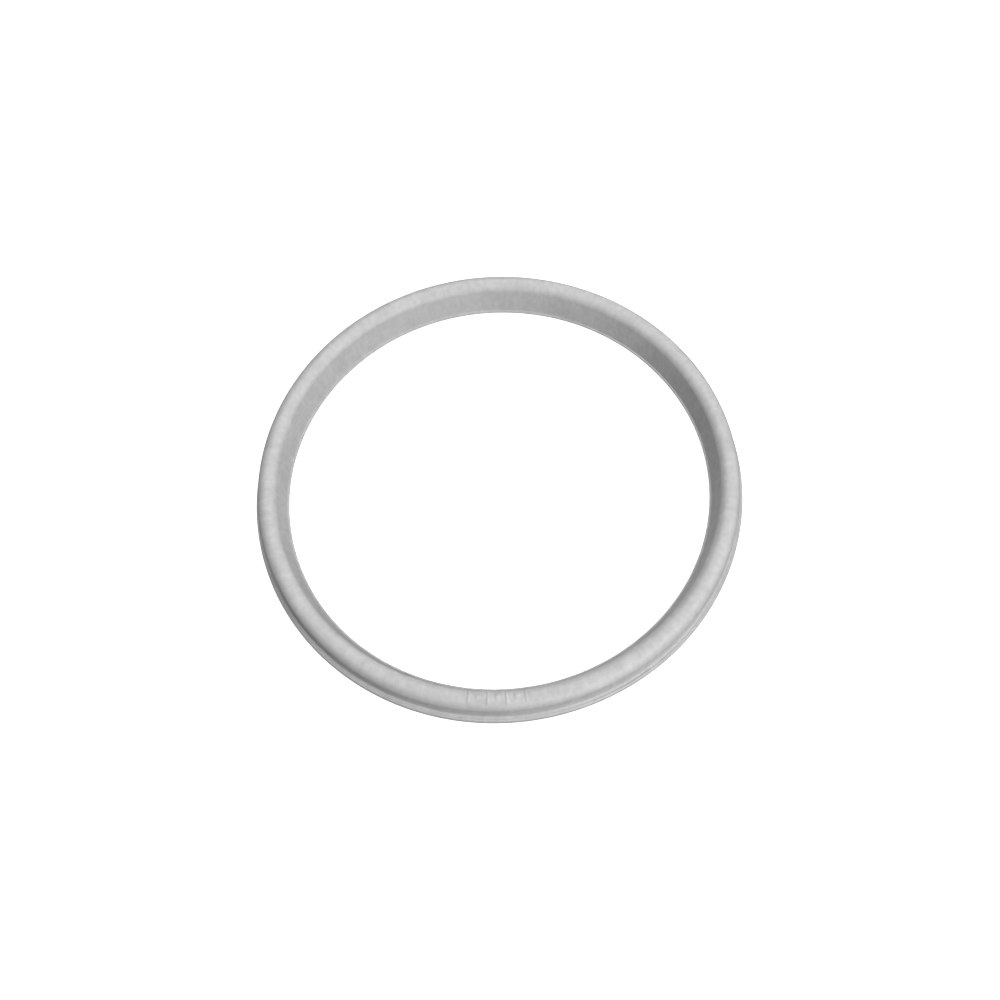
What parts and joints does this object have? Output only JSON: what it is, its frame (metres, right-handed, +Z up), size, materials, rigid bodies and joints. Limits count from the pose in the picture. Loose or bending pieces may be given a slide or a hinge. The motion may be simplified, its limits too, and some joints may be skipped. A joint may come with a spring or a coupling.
{
  "type": "pressure cooker sealing ring",
  "caption": "Round moulded silicone gasket for a pressure cooker lid: rounded crown, sloping inner face, thin inner lip, outer flange and a channel in the underside for the pot's rim.",
  "frame": {"origin": "centre of the ring on its flat underside", "axes": "+Z up along the ring's axis, towards the top of the crown; -Y towards the side that carries the raised mould marks"},
  "size_m": [0.24, 0.24, 0.0165],
  "materials": {
    "silicone": "matte light grey moulded silicone"
  },
  "bodies": {
    "root": {"sealing_ring": "silicone"}
  },
  "joints": []
}
